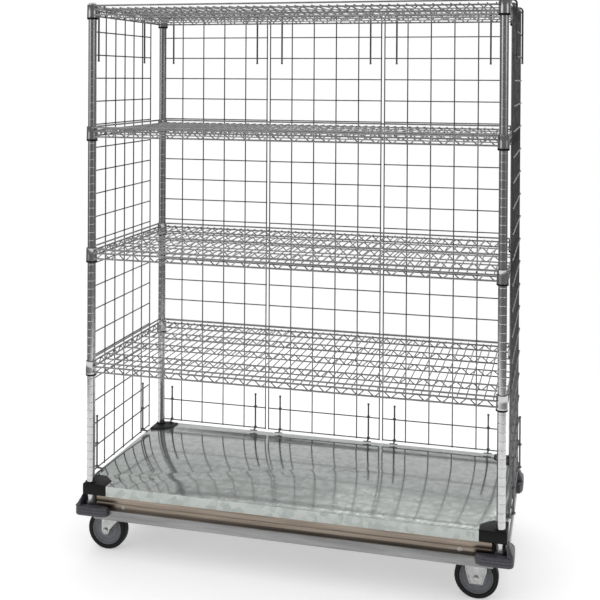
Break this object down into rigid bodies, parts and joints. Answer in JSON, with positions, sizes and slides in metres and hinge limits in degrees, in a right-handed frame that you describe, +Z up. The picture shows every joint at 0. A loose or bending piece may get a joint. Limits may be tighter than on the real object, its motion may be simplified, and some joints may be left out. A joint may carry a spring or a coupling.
{
  "type": "wire shelving truck",
  "caption": "Mobile wire shelving truck, open at the front, with hooked-on mesh panels at the sides and rear, a solid bottom deck and a dolly base on casters.",
  "frame": {"origin": "centre of the overall box, on the floor", "axes": "+X along the length, +Y to the rear, +Z up; the open front faces -Y"},
  "size_m": [1.346, 0.6474, 1.7381],
  "materials": {
    "chrome_tube": "bright plated tube with ring grooves and light wear",
    "chrome_wire": "bright zinc and chrome plated wire",
    "zinc_wire": "zinc plated welded mesh wire, satin",
    "galvanised_sheet": "glossy galvanised sheet with a faint spangle",
    "brushed_stainless": "brushed stainless channel",
    "rail_steel": "bright brushed steel angle",
    "zinc_plate": "bright zinc plated pressed steel",
    "bumper_rubber": "dark blue-grey moulded rubber",
    "black_plastic": "moulded black plastic",
    "tyre_rubber": "black solid rubber tread",
    "hub_plastic": "dark blue-grey moulded hub"
  },
  "bodies": {
    "truck": {"bottom_deck": "galvanised_sheet", "caster_bolts": "zinc_plate", "caster_cross_plate_left": "rail_steel", "caster_cross_plate_right": "rail_steel", "centre_cross_member": "rail_steel", "corner_bumpers": "bumper_rubber", "corner_sockets": "rail_steel", "deck_corner_blocks": "black_plastic", "lower_rail_front": "rail_steel", "lower_rail_left": "rail_steel", "lower_rail_rear": "rail_steel", "lower_rail_right": "rail_steel", "panel_left": "zinc_wire", "panel_rear_centre": "zinc_wire", "panel_rear_left": "zinc_wire", "panel_rear_right": "zinc_wire", "panel_right": "zinc_wire", "post_caps": "chrome_tube", "post_front_left": "chrome_tube", "post_front_right": "chrome_tube", "post_rear_left": "chrome_tube", "post_rear_right": "chrome_tube", "rigid_axles": "zinc_plate", "rigid_front_fork": "zinc_plate", "rigid_rear_fork": "zinc_plate", "split_sleeves": "black_plastic", "swivel_front_kingpin": "zinc_plate", "swivel_front_top_plate": "zinc_plate", "swivel_rear_kingpin": "zinc_plate", "swivel_rear_top_plate": "zinc_plate", "upper_rail_front": "brushed_stainless", "upper_rail_left": "brushed_stainless", "upper_rail_rear": "brushed_stainless", "upper_rail_right": "brushed_stainless", "wire_shelf_lower": "chrome_wire", "wire_shelf_middle": "chrome_wire", "wire_shelf_top": "chrome_wire", "wire_shelf_upper": "chrome_wire"},
    "swivel_front": {"swivel_front_fork": "zinc_plate", "swivel_front_axle": "zinc_plate"},
    "swivel_front_wheel": {"swivel_front_hub": "hub_plastic", "swivel_front_tyre": "tyre_rubber"},
    "rigid_front_wheel": {"rigid_front_hub": "hub_plastic", "rigid_front_tyre": "tyre_rubber"},
    "swivel_rear": {"swivel_rear_fork": "zinc_plate", "swivel_rear_axle": "zinc_plate"},
    "swivel_rear_wheel": {"swivel_rear_hub": "hub_plastic", "swivel_rear_tyre": "tyre_rubber"},
    "rigid_rear_wheel": {"rigid_rear_hub": "hub_plastic", "rigid_rear_tyre": "tyre_rubber"},
    "latch_rear_1": {"latch_rod_rear_1": "zinc_wire"},
    "latch_rear_2": {"latch_rod_rear_2": "zinc_wire"},
    "latch_rear_3": {"latch_rod_rear_3": "zinc_wire"},
    "latch_rear_4": {"latch_rod_rear_4": "zinc_wire"},
    "latch_rear_5": {"latch_rod_rear_5": "zinc_wire"},
    "latch_rear_6": {"latch_rod_rear_6": "zinc_wire"},
    "latch_left_front": {"latch_rod_left_front": "zinc_wire"},
    "latch_left_rear": {"latch_rod_left_rear": "zinc_wire"},
    "latch_right_front": {"latch_rod_right_front": "zinc_wire"},
    "latch_right_rear": {"latch_rod_right_rear": "zinc_wire"}
  },
  "joints": [
    {"name": "swivel_front_turn", "type": "hinge", "parent": "truck", "child": "swivel_front", "pos_m": [-0.563, -0.22575, 0.149], "axis": [0, 0, 1], "continuous": true},
    {"name": "swivel_front_wheel_spin", "type": "hinge", "parent": "swivel_front", "child": "swivel_front_wheel", "pos_m": [-0.601, -0.22575, 0.0635], "axis": [0, 1, 0], "continuous": true},
    {"name": "rigid_front_wheel_spin", "type": "hinge", "parent": "truck", "child": "rigid_front_wheel", "pos_m": [0.563, -0.22575, 0.0635], "axis": [0, 1, 0], "continuous": true},
    {"name": "swivel_rear_turn", "type": "hinge", "parent": "truck", "child": "swivel_rear", "pos_m": [-0.563, 0.22575, 0.149], "axis": [0, 0, 1], "continuous": true},
    {"name": "swivel_rear_wheel_spin", "type": "hinge", "parent": "swivel_rear", "child": "swivel_rear_wheel", "pos_m": [-0.601, 0.22575, 0.0635], "axis": [0, 1, 0], "continuous": true},
    {"name": "rigid_rear_wheel_spin", "type": "hinge", "parent": "truck", "child": "rigid_rear_wheel", "pos_m": [0.563, 0.22575, 0.0635], "axis": [0, 1, 0], "continuous": true},
    {"name": "latch_rear_1_turn", "type": "hinge", "parent": "truck", "child": "latch_rear_1", "pos_m": [-0.6043, 0.31515, 0.2298], "axis": [0, 0, 1], "range_deg": [-180, 0]},
    {"name": "latch_rear_2_turn", "type": "hinge", "parent": "truck", "child": "latch_rear_2", "pos_m": [-0.2807, 0.31515, 0.2298], "axis": [0, 0, 1], "range_deg": [-180, 0]},
    {"name": "latch_rear_3_turn", "type": "hinge", "parent": "truck", "child": "latch_rear_3", "pos_m": [-0.1878, 0.31515, 0.2298], "axis": [0, 0, 1], "range_deg": [-180, 0]},
    {"name": "latch_rear_4_turn", "type": "hinge", "parent": "truck", "child": "latch_rear_4", "pos_m": [0.1358, 0.31515, 0.2298], "axis": [0, 0, 1], "range_deg": [-180, 0]},
    {"name": "latch_rear_5_turn", "type": "hinge", "parent": "truck", "child": "latch_rear_5", "pos_m": [0.2287, 0.31515, 0.2298], "axis": [0, 0, 1], "range_deg": [-180, 0]},
    {"name": "latch_rear_6_turn", "type": "hinge", "parent": "truck", "child": "latch_rear_6", "pos_m": [0.5523, 0.31515, 0.2298], "axis": [0, 0, 1], "range_deg": [-180, 0]},
    {"name": "latch_left_front_turn", "type": "hinge", "parent": "truck", "child": "latch_left_front", "pos_m": [-0.6644, -0.18313, 0.2298], "axis": [0, 0, 1], "range_deg": [-180, 0]},
    {"name": "latch_left_rear_turn", "type": "hinge", "parent": "truck", "child": "latch_left_rear", "pos_m": [-0.6644, 0.18313, 0.2298], "axis": [0, 0, 1], "range_deg": [-180, 0]},
    {"name": "latch_right_front_turn", "type": "hinge", "parent": "truck", "child": "latch_right_front", "pos_m": [0.6644, -0.18313, 0.2298], "axis": [0, 0, 1], "range_deg": [-180, 0]},
    {"name": "latch_right_rear_turn", "type": "hinge", "parent": "truck", "child": "latch_right_rear", "pos_m": [0.6644, 0.18313, 0.2298], "axis": [0, 0, 1], "range_deg": [-180, 0]}
  ]
}
